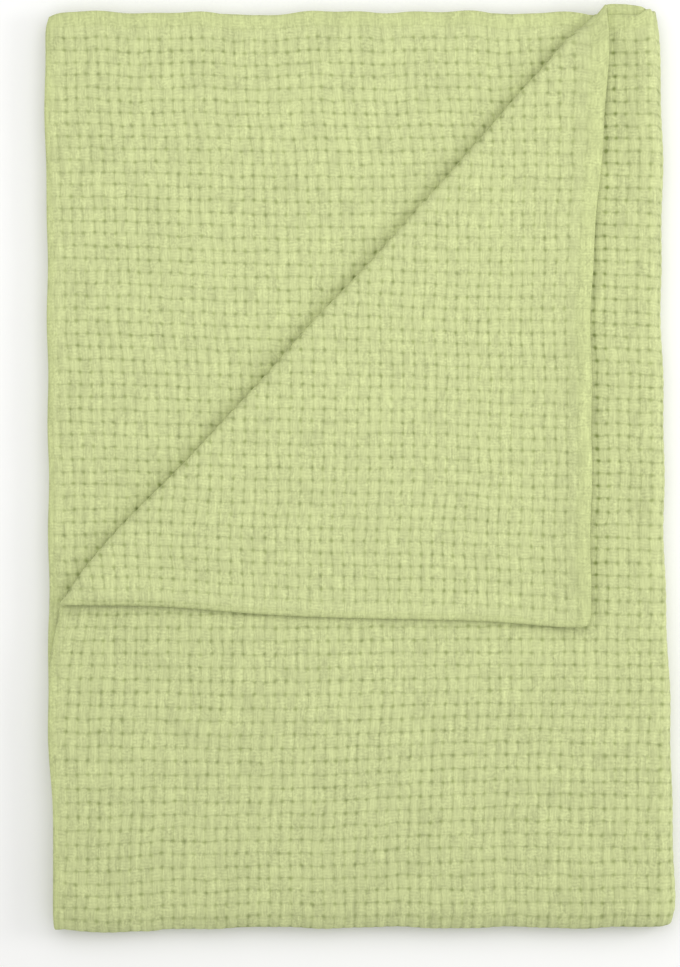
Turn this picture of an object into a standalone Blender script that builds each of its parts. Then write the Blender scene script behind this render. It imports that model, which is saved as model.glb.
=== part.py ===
"""A cotton throw, folded once across its width and twice along its length.

The sheet starts flat, with u along its length and v across its width. It is folded over itself
at v = 0 into a pair of layers, the pair is wound through three turns into a stack of eight layers,
and the free corner of the top layer is turned back over a diagonal. Last, the stack settles: its
edges lean and wave a little, and its upper layers rise and sink softly over the flat underside.
Picture right is +X, picture up is +Y, and the throw lies on the plane Z = 0.
"""

import math
from collections import namedtuple

import bmesh
import bpy
import numpy as np
from mathutils import Vector

# Driving dimensions in metres
THROW_LENGTH = 2.0
THROW_WIDTH = 1.5
CLOTH_THICKNESS = 0.0025
LAYER_PITCH = 0.0033
STACK_WIDTH = 0.504
STACK_DEPTH = 0.7505

# Where the diagonal of the turned corner meets the top layer's two free edges
CORNER_ALONG_TOP = 0.4495
CORNER_DOWN_SIDE = 0.489
CORNER_ROLL_RADIUS = 0.0026
CORNER_SETTLED_HEIGHT = 0.0035
CORNER_SETTLING_REACH = 0.06
CORNER_SKEW = 0.218

# Outline of the settled stack
SIDE_LEAN = 0.0132
SIDE_SPREAD = 0.0057
END_RAMP_START = 0.2
SIDE_RAMP_START = 0.1
RAISED_EDGE = 0.0068
RAISED_FROM, RAISED_FULL, RAISED_UNTIL, RAISED_END = 0.193, 0.203, 0.222, 0.262
LOWER_LEFT_DROP = 0.0026
LOWER_LEFT_END = -0.169
LOWER_LEFT_BLEND = 0.009

# How far the free edges of the covered layers draw back, and how that varies with height and place
FREE_EDGE_RECESS = 0.0018
END_RECESS_BY_HEIGHT, END_RECESS_BY_X = 9.5, 9.0
SIDE_RECESS_BY_HEIGHT, SIDE_RECESS_BY_Y = 11.0, 7.0

# Shares of the stack's height where the covered layers end and where the top layer begins
COVERED_UNTIL, COVERED_END = 0.80, 0.87
TOP_LAYER_FROM, TOP_LAYER_FULL = 0.90, 0.97

# Segments of the mesh
SEGMENTS_TOP_SECTION = 12
SEGMENTS_HIDDEN_SECTION = 6
SEGMENTS_OUTER_TURN = 8
SEGMENTS_INNER_TURN = 6
SEGMENTS_UPPER_HALF = 14
SEGMENTS_LOWER_HALF = 8
SEGMENTS_HAIRPIN = 6
SEGMENTS_CORNER_ROLL = 7

COTTON_COLOUR = (0.56, 0.63, 0.28, 1.0)
COTTON_ROUGHNESS = 0.9

HAIRPIN_RADIUS = LAYER_PITCH / 2
HAIRPIN_HALF = math.pi * HAIRPIN_RADIUS / 2
HALF_WIDTH = THROW_WIDTH / 2
INNER_TURN_RADIUS = LAYER_PITCH
OUTER_TURN_RADIUS = 3 * LAYER_PITCH
RIGHT_TURN_X = STACK_WIDTH / 2 - OUTER_TURN_RADIUS - HAIRPIN_RADIUS - CLOTH_THICKNESS / 2
LEFT_TURN_X = -STACK_WIDTH / 2 + INNER_TURN_RADIUS + HAIRPIN_RADIUS + CLOTH_THICKNESS / 2
LOWEST_FOLD_Y = -STACK_DEPTH / 2 + CLOTH_THICKNESS / 2
GROUND_SHIFT = (CLOTH_THICKNESS - LAYER_PITCH) / 2
TOP_LAYER_Z = 7.5 * LAYER_PITCH + GROUND_SHIFT

Swell = namedtuple("Swell", "x y reach_x reach_y shift_x shift_y level")
Rise = namedtuple("Rise", "x y reach_x reach_y height")
Wave = namedtuple("Wave", "amplitude length start")
Section = namedtuple("Section", "length x z heading turn segments")

# Soft sideways shifts of the cloth, in metres from the middle of the stack
SWELLS = (
    Swell(0.022, 0.185, 0.09, 0.09, 0.0016, -0.0015, "stack"),
    Swell(-0.185, -0.041, 0.06, 0.06, -0.0022, 0.0020, "stack"),
    Swell(-0.252, 0.115, 0.05, 0.06, 0.0018, 0.0, "stack"),
    Swell(-0.252, -0.300, 0.05, 0.06, 0.0014, 0.0, "stack"),
    Swell(0.250, 0.330, 0.06, 0.16, 0.0034, 0.0, "stack"),
    Swell(0.252, -0.310, 0.06, 0.13, 0.0034, 0.0, "stack"),
    Swell(0.259, -0.375, 0.013, 0.013, -0.0035, 0.0035, "stack"),
    Swell(0.251, 0.378, 0.014, 0.014, -0.0030, -0.0030, "stack"),
    Swell(-0.252, 0.375, 0.012, 0.012, 0.0022, -0.0022, "stack"),
    Swell(-0.252, -0.115, 0.040, 0.034, 0.0088, 0.0, "top layer"),
    Swell(-0.225, -0.113, 0.11, 0.034, 0.0, 0.0085, "top layer"),
    Swell(0.208, 0.345, 0.042, 0.15, 0.0110, 0.0, "flap"),
    Swell(0.195, -0.070, 0.06, 0.12, 0.0024, 0.0, "flap"),
    Swell(-0.060, -0.121, 0.11, 0.05, 0.0, -0.0012, "flap"),
    Swell(0.170, -0.125, 0.045, 0.05, 0.0, -0.0034, "flap"),
)

# Rises and hollows of the top of the stack, which fade to nothing at its underside
RISES = (
    Rise(0.02, 0.05, 0.20, 0.24, 0.0012),
    Rise(-0.27, 0.10, 0.05, 0.40, -0.0016),
    Rise(-0.05, 0.40, 0.30, 0.05, -0.0014),
    Rise(0.05, -0.39, 0.28, 0.04, -0.0012),
    Rise(0.215, 0.30, 0.03, 0.10, 0.0014),
    Rise(0.218, -0.02, 0.022, 0.16, -0.0010),
    Rise(0.10, -0.24, 0.09, 0.05, 0.0009),
    Rise(-0.14, -0.22, 0.07, 0.06, -0.0008),
    Rise(-0.15, 0.22, 0.08, 0.07, 0.0008),
)

# Waves of the two sides, then of the two ends
SIDE_WAVES = (Wave(0.0008, 0.21, 0.4), Wave(0.0005, 0.087, 2.1))
END_WAVES = (Wave(0.0016, 0.10, 3.4), Wave(0.0005, 0.043, 0.3))


def smooth_step(value, start, end):
    """0 before start, 1 after end, and a soft S between them."""
    t = np.clip((value - start) / (end - start), 0.0, 1.0)
    return t * t * (3.0 - 2.0 * t)


def wave_sum(position, waves):
    return sum(w.amplitude * np.sin(2 * math.pi * position / w.length + w.start) for w in waves)


def bell(x, y, row):
    return np.exp(-(((x - row.x) / row.reach_x) ** 2) - ((y - row.y) / row.reach_y) ** 2)


def sections():
    """The route of a pair of layers seen from the front, from its free end in the top pair."""
    p = LAYER_PITCH
    outer, inner = math.pi * OUTER_TURN_RADIUS, math.pi * INNER_TURN_RADIUS
    top = RIGHT_TURN_X + STACK_WIDTH / 2
    flat = RIGHT_TURN_X - LEFT_TURN_X
    last = THROW_LENGTH - top - outer - 2 * flat - 2 * inner
    few = SEGMENTS_HIDDEN_SECTION
    left_end, right, left = -STACK_WIDTH / 2, RIGHT_TURN_X, LEFT_TURN_X
    return (
        Section(top, left_end, 7 * p, 0.0, 0.0, SEGMENTS_TOP_SECTION),
        Section(outer, right, 7 * p, 0.0, -1 / OUTER_TURN_RADIUS, SEGMENTS_OUTER_TURN),
        Section(flat, right, p, math.pi, 0.0, few),
        Section(inner, left, p, math.pi, -1 / INNER_TURN_RADIUS, SEGMENTS_INNER_TURN),
        Section(flat, left, 3 * p, 0.0, 0.0, few),
        Section(inner, right, 3 * p, 0.0, 1 / INNER_TURN_RADIUS, SEGMENTS_INNER_TURN),
        Section(last, right, 5 * p, math.pi, 0.0, few),
    )


def fold_across(v):
    """Folds the width over at v = 0: gives the place along Y and the height over the pair's middle."""
    angle = np.clip(v / HAIRPIN_RADIUS, -math.pi / 2, math.pi / 2)
    beyond = np.maximum(np.abs(v) - HAIRPIN_HALF, 0.0)
    y = LOWEST_FOLD_Y + HAIRPIN_RADIUS * (1 - np.cos(angle)) + beyond
    return y, HAIRPIN_RADIUS * np.sin(angle)


def fold_along(u, lift):
    """Winds the pair along its route: gives X and Z of a point that lies lift over the pair's middle."""
    x, z = np.zeros_like(u), np.zeros_like(u)
    start = 0.0
    route = sections()
    for row in route:
        end = start + row.length
        here = (u >= start - 1e-9) & ((u < end) | (row is route[-1]))
        along = u[here] - start
        heading = row.heading + row.turn * along
        if row.turn:
            mid_x = row.x + (np.sin(heading) - math.sin(row.heading)) / row.turn
            mid_z = row.z - (np.cos(heading) - math.cos(row.heading)) / row.turn
        else:
            mid_x = row.x + math.cos(row.heading) * along
            mid_z = row.z + math.sin(row.heading) * along
        x[here] = mid_x - np.sin(heading) * lift[here]
        z[here] = mid_z + np.cos(heading) * lift[here]
        start = end
    return x, z + GROUND_SHIFT


def corner_line():
    """The diagonal's lower end, its direction, and the direction from it to the free corner."""
    top_y = LOWEST_FOLD_Y + HAIRPIN_RADIUS + HALF_WIDTH - HAIRPIN_HALF
    end = Vector((-STACK_WIDTH / 2, top_y - CORNER_DOWN_SIDE))
    along = Vector((CORNER_ALONG_TOP, CORNER_DOWN_SIDE)).normalized()
    return end, along, Vector((-along.y, along.x))


def turn_back_corner(x, y, z, is_top):
    """Rolls the top layer's corner over the diagonal and lays it back on the top, skewed along the roll."""
    end, along, away = corner_line()
    radius = CORNER_ROLL_RADIUS
    roll = math.pi * radius
    past = (x - end.x) * away.x + (y - end.y) * away.y + radius + CLOTH_THICKNESS / 2
    past = np.where(is_top, np.maximum(past, 0.0), 0.0)
    angle = np.minimum(past / radius, math.pi)
    back = np.maximum(past - roll, 0.0)
    shift = radius * np.sin(angle) - back - past
    skew = np.where(past < roll, past**2 / (2 * roll), past - roll / 2) * CORNER_SKEW
    settle = smooth_step(back, 0.0, CORNER_SETTLING_REACH)
    sink = (2 * radius - CORNER_SETTLED_HEIGHT) * settle
    x = x + away.x * shift - along.x * skew
    y = y + away.y * shift - along.y * skew
    return x, y, z + radius * (1 - np.cos(angle)) - sink


def settle_stack(x, y, z):
    """Leans, waves, raises and sinks the stack, and leaves its underside flat."""
    levels = {
        "stack": 1.0,
        "top layer": smooth_step(z, TOP_LAYER_Z - LAYER_PITCH, TOP_LAYER_Z),
        "flap": smooth_step(z, TOP_LAYER_Z, TOP_LAYER_Z + CORNER_SETTLED_HEIGHT),
    }
    for row in SWELLS:
        weight = bell(x, y, row) * levels[row.level]
        x, y = x + row.shift_x * weight, y + row.shift_y * weight
    height = z / TOP_LAYER_Z
    to_top = smooth_step(y, END_RAMP_START, STACK_DEPTH / 2)
    to_bottom = smooth_step(-y, END_RAMP_START, STACK_DEPTH / 2)
    to_left = smooth_step(-x, SIDE_RAMP_START, STACK_WIDTH / 2)
    recess = FREE_EDGE_RECESS * (1 - smooth_step(height, COVERED_UNTIL, COVERED_END))
    in_top_layer = smooth_step(height, TOP_LAYER_FROM, TOP_LAYER_FULL)
    across = smooth_step(x, RAISED_FROM, RAISED_FULL) * (1 - smooth_step(x, RAISED_UNTIL, RAISED_END))
    recess_y = recess * (1 - np.cos(END_RECESS_BY_HEIGHT * height + END_RECESS_BY_X * x))
    recess_x = recess * (1 - np.cos(SIDE_RECESS_BY_HEIGHT * height + SIDE_RECESS_BY_Y * y))
    drop = 1 - smooth_step(x, LOWER_LEFT_END - LOWER_LEFT_BLEND, LOWER_LEFT_END + LOWER_LEFT_BLEND)
    ripple = wave_sum(x, END_WAVES)
    new_y = y + to_top * (RAISED_EDGE * across * in_top_layer - recess_y + ripple)
    new_y = new_y - to_bottom * (LOWER_LEFT_DROP * drop + ripple / 2)
    new_x = x * (1 - SIDE_SPREAD * y / (STACK_DEPTH / 2)) - SIDE_LEAN * y
    new_x = new_x + to_left * recess_x + wave_sum(y, SIDE_WAVES)
    rise = sum(row.height * bell(new_x, new_y, row) for row in RISES)
    return new_x, new_y, z + rise * np.clip(height, 0.0, 1.0)


def place(u, v):
    """Where each point of the flat sheet lies in the folded throw."""
    y, lift = fold_across(v)
    x, z = fold_along(u, lift)
    is_top = (u < sections()[0].length) & (v > 0)
    return settle_stack(*turn_back_corner(x, y, z, is_top))


def length_lines():
    """Where the mesh has a line across the sheet, from one end to the other."""
    lines, start = [0.0], 0.0
    for row in sections():
        lines += [start + row.length * (i + 1) / row.segments for i in range(row.segments)]
        start += row.length
    return lines


def width_lines():
    """Where the mesh has a line along the sheet, from the lower half's edge to the upper half's."""
    lower = np.linspace(-HALF_WIDTH, -HAIRPIN_HALF, SEGMENTS_LOWER_HALF + 1)
    bend = np.linspace(-HAIRPIN_HALF, HAIRPIN_HALF, SEGMENTS_HAIRPIN + 1)
    upper = np.linspace(HAIRPIN_HALF, HALF_WIDTH, SEGMENTS_UPPER_HALF + 1)
    return [*lower, *bend[1:-1], *upper]


def flat_sheet():
    """The unfolded sheet as a grid in u and v, with extra lines along the roll of the turned corner."""
    across, along = length_lines(), width_lines()
    columns, rows = len(across) - 1, len(along) - 1
    grid = bmesh.new()
    bmesh.ops.create_grid(grid, x_segments=columns, y_segments=rows, size=1.0)
    for vert in grid.verts:
        column = round((vert.co.x + 1) / 2 * columns)
        row = round((vert.co.y + 1) / 2 * rows)
        vert.co = (across[column], along[row], 0.0)
    cut_roll_lines(grid)
    return grid


def cut_roll_lines(grid):
    """Cuts the top layer of the flat sheet along lines parallel to the diagonal, through its roll."""
    end, _, away = corner_line()
    flat_y = LOWEST_FOLD_Y + HAIRPIN_RADIUS - HAIRPIN_HALF
    start = -(CORNER_ROLL_RADIUS + CLOTH_THICKNESS / 2)
    for i in range(SEGMENTS_CORNER_ROLL + 1):
        offset = start + math.pi * CORNER_ROLL_RADIUS * i / SEGMENTS_CORNER_ROLL
        on_line = Vector((end.x + STACK_WIDTH / 2, end.y - flat_y)) + away * offset
        faces = [f for f in grid.faces if is_in_top_layer(f.calc_center_median())]
        edges = {edge for face in faces for edge in face.edges}
        verts = {vert for face in faces for vert in face.verts}
        bmesh.ops.bisect_plane(
            grid,
            geom=[*faces, *edges, *verts],
            dist=1e-5,
            plane_co=on_line.to_3d(),
            plane_no=away.to_3d(),
        )


def is_in_top_layer(point):
    return point.x < sections()[0].length and point.y > HAIRPIN_HALF


def fold_sheet(grid):
    flat = np.array([vert.co[:2] for vert in grid.verts])
    folded = np.stack(place(flat[:, 0], flat[:, 1]), axis=1)
    for vert, point in zip(grid.verts, folded):
        vert.co = point


def cotton():
    material = bpy.data.materials.new("cotton_weave")
    material.use_nodes = True
    shader = material.node_tree.nodes["Principled BSDF"]
    shader.inputs["Base Color"].default_value = COTTON_COLOUR
    shader.inputs["Roughness"].default_value = COTTON_ROUGHNESS
    shader.inputs["Metallic"].default_value = 0.0
    return material


def centre_on_ground(throw):
    """Moves the mesh so that the solid's box stands centred over the origin, on Z = 0."""
    bpy.context.view_layer.update()
    solid = throw.evaluated_get(bpy.context.evaluated_depsgraph_get())
    corners = np.array([corner[:] for corner in solid.bound_box])
    low, high = corners.min(axis=0), corners.max(axis=0)
    for vert in throw.data.vertices:
        vert.co.x -= (low[0] + high[0]) / 2
        vert.co.y -= (low[1] + high[1]) / 2
        vert.co.z -= low[2]


def build_throw(collection):
    grid = flat_sheet()
    fold_sheet(grid)
    mesh = bpy.data.meshes.new("throw")
    grid.to_mesh(mesh)
    grid.free()
    mesh.shade_smooth()
    mesh.set_sharp_from_angle(angle=math.radians(50))
    mesh.materials.append(cotton())
    throw = bpy.data.objects.new("throw", mesh)
    collection.objects.link(throw)
    thickness = throw.modifiers.new("Thickness", "SOLIDIFY")
    thickness.thickness = CLOTH_THICKNESS
    thickness.offset = 0.0
    centre_on_ground(throw)


def main():
    for obj in list(bpy.data.objects):
        bpy.data.objects.remove(obj)
    collection = bpy.data.collections.new("throw_blanket")
    bpy.context.scene.collection.children.link(collection)
    build_throw(collection)


main()
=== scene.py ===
"""Dresses the folded cotton throw: its basket weave, turned hems and soft creases, on a pale studio floor.

The throw is one woven sheet, 1.5 by 2.0 m. It is folded over itself along its middle, wound into a
stack of eight layers, and the free corner of its top layer is turned back over a diagonal.
Lengths are in metres. Picture right is +X, picture up is +Y, and the throw lies on the plane Z = 0.
"""

import logging
import math
from dataclasses import dataclass, field
from enum import Enum
from typing import Any, ClassVar, NamedTuple

import bpy
import numpy as np
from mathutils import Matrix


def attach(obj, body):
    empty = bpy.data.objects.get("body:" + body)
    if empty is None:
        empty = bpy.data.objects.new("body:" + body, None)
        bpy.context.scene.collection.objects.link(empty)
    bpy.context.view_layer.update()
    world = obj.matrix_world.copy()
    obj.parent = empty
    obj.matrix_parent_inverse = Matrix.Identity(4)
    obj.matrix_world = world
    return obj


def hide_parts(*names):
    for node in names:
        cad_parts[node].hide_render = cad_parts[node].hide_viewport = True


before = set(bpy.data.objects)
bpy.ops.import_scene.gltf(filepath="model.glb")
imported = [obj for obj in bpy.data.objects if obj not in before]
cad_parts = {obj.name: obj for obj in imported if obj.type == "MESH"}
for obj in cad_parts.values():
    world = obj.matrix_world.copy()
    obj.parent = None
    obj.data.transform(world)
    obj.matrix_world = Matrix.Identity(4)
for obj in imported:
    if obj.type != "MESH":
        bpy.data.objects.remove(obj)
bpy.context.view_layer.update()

LOG = logging.getLogger("throw")
ROUNDING = 1e-9
SCATTER_SINE = (12.9898, 78.233, 43758.5453)

Array = np.ndarray
Pair = tuple[Array, Array]
Triple = tuple[Array, Array, Array]
Span = tuple[float, float]
Colour = tuple[float, float, float, float]
Socket = bpy.types.NodeSocket


class Level(Enum):
    """Which layers of the stack a sideways shift takes along."""

    STACK = "all layers"
    TOP_LAYER = "top layer and what lies on it"
    FLAP = "turned corner"


class Side(Enum):
    """The two faces of the cloth, by the sign of their distance from its middle surface."""

    OUTER = 1
    INNER = -1


class Swell(NamedTuple):
    """A soft sideways shift of the cloth around a place in plan."""

    x: float
    y: float
    reach_x: float
    reach_y: float
    shift_x: float
    shift_y: float
    level: Level


class Rise(NamedTuple):
    """A soft rise, or a hollow where height is negative, around a place in plan."""

    x: float
    y: float
    reach_x: float
    reach_y: float
    height: float


class Wave(NamedTuple):
    """One sine wave along an edge."""

    amplitude: float
    length: float
    start: float


class Ripple(NamedTuple):
    """One sine wave over the whole stack, across a direction given in degrees from +X."""

    amplitude: float
    length: float
    direction: float
    start: float


class Drift(NamedTuple):
    """A soft shift of the threads within the cloth, around a place on the flat sheet."""

    u: float
    v: float
    reach_u: float
    reach_v: float
    shift_u: float
    shift_v: float


class Section(NamedTuple):
    """A straight or bent stretch of the route that a pair of layers follows, seen from the front."""

    length: float
    x: float
    z: float
    heading: float
    turn: float


def smooth_step(value: Array, start: float, end: float) -> Array:
    """Rises from 0 at start to 1 at end in a soft S, as 3t squared less 2t cubed.

    Args:
        value: The numbers to map.
        start: Where the result is still 0.
        end: Where the result reaches 1.

    Returns:
        Numbers from 0 to 1.
    """
    t = np.clip((value - start) / (end - start), 0.0, 1.0)
    return t * t * (3.0 - 2.0 * t)


def ease(value: Array, span: Span, start: float, end: float) -> Array:
    """Goes from start to end in a soft S while the value crosses the span."""
    return start + (end - start) * smooth_step(value, *span)


def scatter(first: Array, second: Array) -> Array:
    """A fixed number from 0 to 1 for each pair of whole numbers: the fraction of a large sine.

    Args:
        first: Whole numbers.
        second: Whole numbers.

    Returns:
        Numbers that look random, and are the same on each run.
    """
    by_first, by_second, size = SCATTER_SINE
    wild = np.sin(by_first * first + by_second * second) * size
    return wild - np.floor(wild)


def wave_sum(position: Array, waves: tuple[Wave, ...]) -> Array:
    """Adds up sine waves along a line."""
    return sum(w.amplitude * np.sin(2 * math.pi * position / w.length + w.start) for w in waves)


def bell(x: Array, y: Array, row: Any) -> Array:
    """A bell of height 1 around a row's place: e to minus the sum of the squared shares of its reach."""
    return np.exp(-(((x - row[0]) / row[2]) ** 2) - ((y - row[1]) / row[3]) ** 2)


def unit(vectors: Array) -> Array:
    """Scales each row of an array of vectors to length 1."""
    return vectors / np.linalg.norm(vectors, axis=1, keepdims=True)


@dataclass(frozen=True)
class FoldedStack:
    """How the flat sheet is folded: the same turns, rolls and settling as the throw's solid has.

    u runs along the sheet from the free end in the top pair, and v across it from the fold.
    """

    LAYERS_BELOW_TOP: ClassVar[float] = 7.5

    # The sheet, and the stack that it is folded into.
    length: float = 2.0
    half_width: float = 0.75
    thickness: float = 0.0025
    pitch: float = 0.0033
    stack_width: float = 0.504
    stack_depth: float = 0.7505

    # The turned corner: its reach along the top and down the side, its roll, and how it sinks.
    corner_along_top: float = 0.4495
    corner_down_side: float = 0.489
    corner_roll_radius: float = 0.0032
    corner_settled_height: float = 0.0035
    corner_settling_reach: float = 0.07
    corner_skew: float = 0.218

    # How the stack leans, and where cloth stands up or drops past its ends.
    side_lean: float = 0.0132
    side_spread: float = 0.0057
    end_ramp_start: float = 0.2
    side_ramp_start: float = 0.1
    raised_edge: float = 0.0095
    tip_span: tuple[float, float, float, float] = (0.200, 0.2105, 0.2135, 0.2175)
    layer_behind_span: tuple[float, float, float] = (0.2045, 0.2135, 0.247)
    joined_corner: tuple[float, float, float] = (0.236, 0.246, 0.74)
    joined_from: float = 0.350
    crease_trough: Span = (0.0014, 0.0024)
    layer_behind_fall: float = 0.14
    layer_behind_end: Span = (0.013, 0.020)
    lower_left_drop: float = 0.0026
    lower_left_end: float = -0.169
    lower_left_blend: float = 0.009

    # How far free edges lie back under the covering layers, and how that varies.
    free_edge_recess: float = 0.0018
    end_recess_by_height: float = 9.5
    end_recess_by_x: float = 9.0
    side_recess_by_height: float = 11.0
    side_recess_by_y: float = 7.0
    covered_shares: Span = (0.80, 0.87)

    # The turned corner's free borders, by distance in from the edge. They rise from a line outside it.
    border_curl: float = 0.0024
    border_rise_from: float = -0.0050
    border_crest: float = 0.0080
    border_reach: float = 0.026
    border_start: Span = (0.004, 0.020)
    border_tip: tuple[float, float, float] = (0.13, 1.3, 0.7)
    border_fullness: float = 0.0005
    laid_back_span: Span = (0.012, 0.055)
    side_lift: Span = (0.0046, 0.0024)
    side_lift_span: Span = (0.10, 0.36)
    side_lift_reach: Span = (0.001, 0.050)
    border_wave: Wave = Wave(0.25, 0.19, 1.0)

    # How the stack thins towards its lower end.
    end_rounding: float = 0.38
    end_rounding_reach: float = 0.016
    end_rounding_power: float = 2.0

    # Soft irregularities of the outline and the top.
    swells: tuple[Swell, ...] = (
        Swell(0.022, 0.185, 0.09, 0.09, 0.0016, -0.0015, Level.STACK),
        Swell(-0.185, -0.041, 0.06, 0.06, -0.0022, 0.0020, Level.STACK),
        Swell(-0.252, 0.265, 0.05, 0.05, -0.0022, 0.0, Level.STACK),
        Swell(-0.252, 0.045, 0.05, 0.065, -0.0020, 0.0, Level.STACK),
        Swell(-0.252, -0.185, 0.05, 0.075, -0.0043, 0.0, Level.STACK),
        Swell(-0.252, -0.357, 0.04, 0.035, -0.0024, 0.0, Level.STACK),
        Swell(-0.247, -0.378, 0.014, 0.020, 0.0, 0.0024, Level.STACK),
        Swell(-0.180, -0.378, 0.045, 0.050, 0.0, -0.0018, Level.STACK),
        Swell(-0.190, 0.378, 0.030, 0.050, 0.0, 0.0026, Level.STACK),
        Swell(0.015, 0.378, 0.035, 0.050, 0.0, 0.0028, Level.STACK),
        Swell(0.107, 0.378, 0.018, 0.050, 0.0, 0.0034, Level.STACK),
        Swell(-0.252, -0.300, 0.05, 0.06, 0.0014, 0.0, Level.STACK),
        Swell(0.250, 0.330, 0.06, 0.16, 0.0034, 0.0, Level.STACK),
        Swell(0.252, -0.310, 0.06, 0.13, 0.0034, 0.0, Level.STACK),
        Swell(0.259, -0.375, 0.013, 0.013, -0.0035, 0.0035, Level.STACK),
        Swell(0.251, 0.378, 0.014, 0.014, -0.0030, -0.0030, Level.STACK),
        Swell(-0.252, 0.375, 0.012, 0.012, 0.0022, -0.0022, Level.STACK),
        Swell(-0.252, -0.115, 0.040, 0.034, 0.0088, 0.0, Level.TOP_LAYER),
        Swell(-0.225, -0.113, 0.11, 0.034, 0.0, 0.0085, Level.TOP_LAYER),
        Swell(0.208, 0.345, 0.036, 0.15, 0.0110, 0.0, Level.FLAP),
        Swell(0.207, 0.345, 0.030, 0.055, 0.0042, 0.0, Level.FLAP),
        Swell(0.195, -0.070, 0.06, 0.12, 0.0024, 0.0, Level.FLAP),
        Swell(-0.060, -0.121, 0.11, 0.05, 0.0, -0.0012, Level.FLAP),
        Swell(0.170, -0.125, 0.045, 0.05, 0.0, -0.0034, Level.FLAP),
        Swell(0.181, 0.360, 0.020, 0.028, -0.0042, 0.0020, Level.FLAP),
        Swell(-0.237, -0.108, 0.065, 0.016, 0.0, -0.0062, Level.FLAP),
    )
    rises: tuple[Rise, ...] = (
        Rise(0.02, 0.05, 0.20, 0.24, 0.0012),
        Rise(-0.27, 0.10, 0.05, 0.40, -0.0016),
        Rise(-0.05, 0.40, 0.30, 0.05, -0.0014),
        Rise(0.05, -0.39, 0.28, 0.04, -0.0012),
        Rise(0.242, 0.27, 0.020, 0.22, 0.0034),
        Rise(0.249, -0.06, 0.018, 0.20, 0.0016),
        Rise(0.218, -0.02, 0.022, 0.16, -0.0010),
        Rise(0.214, 0.32, 0.014, 0.07, -0.0016),
        Rise(0.10, -0.24, 0.09, 0.05, 0.0009),
        Rise(-0.14, -0.22, 0.07, 0.06, -0.0008),
        Rise(-0.15, 0.22, 0.08, 0.07, 0.0008),
    )
    side_waves: tuple[Wave, ...] = (Wave(0.0008, 0.21, 0.4), Wave(0.0005, 0.087, 2.1))
    end_waves: tuple[Wave, ...] = (Wave(0.0016, 0.10, 3.4), Wave(0.0005, 0.043, 0.3))
    ripples: tuple[Ripple, ...] = (
        Ripple(0.00013, 0.071, 24.0, 0.6),
        Ripple(0.00012, 0.058, 118.0, 2.3),
        Ripple(0.00010, 0.043, 71.0, 4.4),
        Ripple(0.00008, 0.037, 163.0, 1.2),
        Ripple(0.00014, 0.104, 95.0, 5.1),
    )

    @property
    def hairpin_radius(self) -> float:
        """Radius of the fold at v = 0."""
        return self.pitch / 2

    @property
    def hairpin_half(self) -> float:
        """Length of cloth in half of the fold at v = 0."""
        return math.pi * self.hairpin_radius / 2

    @property
    def lowest_fold_y(self) -> float:
        """Where the middle of the cloth is nearest to the stack's lower end."""
        return -self.stack_depth / 2 + self.thickness / 2

    @property
    def ground_shift(self) -> float:
        """How far the layers move for the lowest one to lie on Z = 0."""
        return (self.thickness - self.pitch) / 2

    @property
    def top_layer_z(self) -> float:
        """Height of the middle of the top layer before it settles."""
        return self.LAYERS_BELOW_TOP * self.pitch + self.ground_shift

    def route(self) -> tuple[Section, ...]:
        """The route of a pair of layers from its free end in the top pair.

        Returns:
            Straight and half-round sections in order, each with its start and heading.
        """
        p = self.pitch
        edge = self.stack_width / 2
        right = edge - 3 * p - self.hairpin_radius - self.thickness / 2
        left = -edge + p + self.hairpin_radius + self.thickness / 2
        outer, inner = math.pi * 3 * p, math.pi * p
        top, flat = right + edge, right - left
        last = self.length - top - outer - 2 * flat - 2 * inner
        return (
            Section(top, -edge, 7 * p, 0.0, 0.0),
            Section(outer, right, 7 * p, 0.0, -1 / (3 * p)),
            Section(flat, right, p, math.pi, 0.0),
            Section(inner, left, p, math.pi, -1 / p),
            Section(flat, left, 3 * p, 0.0, 0.0),
            Section(inner, right, 3 * p, 0.0, 1 / p),
            Section(last, right, 5 * p, math.pi, 0.0),
        )

    def fold_across(self, v: Array) -> Pair:
        """Folds the width over at v = 0 in a half circle, and runs straight on either side of it.

        Args:
            v: Places across the sheet.

        Returns:
            The places along Y, and the heights over the middle of the pair of layers.
        """
        radius = self.hairpin_radius
        angle = np.clip(v / radius, -math.pi / 2, math.pi / 2)
        beyond = np.maximum(np.abs(v) - self.hairpin_half, 0.0)
        y = self.lowest_fold_y + radius * (1 - np.cos(angle)) + beyond
        return y, radius * np.sin(angle)

    def fold_along(self, u: Array, lift: Array) -> Pair:
        """Winds the pair along its route, each point lift away from the route at right angles to it.

        Args:
            u: Places along the sheet.
            lift: Heights over the middle of the pair.

        Returns:
            X and Z of each point.
        """
        x, z = np.zeros_like(u), np.zeros_like(u)
        start = 0.0
        rows = self.route()
        for row in rows:
            end = start + row.length
            here = (u >= start - ROUNDING) & ((u < end) | (row is rows[-1]))
            along = u[here] - start
            heading = row.heading + row.turn * along
            if row.turn:
                mid_x = row.x + (np.sin(heading) - math.sin(row.heading)) / row.turn
                mid_z = row.z - (np.cos(heading) - math.cos(row.heading)) / row.turn
            else:
                mid_x = row.x + math.cos(row.heading) * along
                mid_z = row.z + math.sin(row.heading) * along
            x[here] = mid_x - np.sin(heading) * lift[here]
            z[here] = mid_z + np.cos(heading) * lift[here]
            start = end
        return x, z + self.ground_shift

    def diagonal(self) -> Triple:
        """Where the fold of the turned corner runs, in plan.

        Returns:
            Its lower end, its direction, and the direction from it to the free corner.
        """
        top_y = self.lowest_fold_y + self.hairpin_radius + self.half_width - self.hairpin_half
        end = np.array((-self.stack_width / 2, top_y - self.corner_down_side))
        along = np.array((self.corner_along_top, self.corner_down_side))
        along = along / np.linalg.norm(along)
        return end, along, np.array((-along[1], along[0]))

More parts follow.
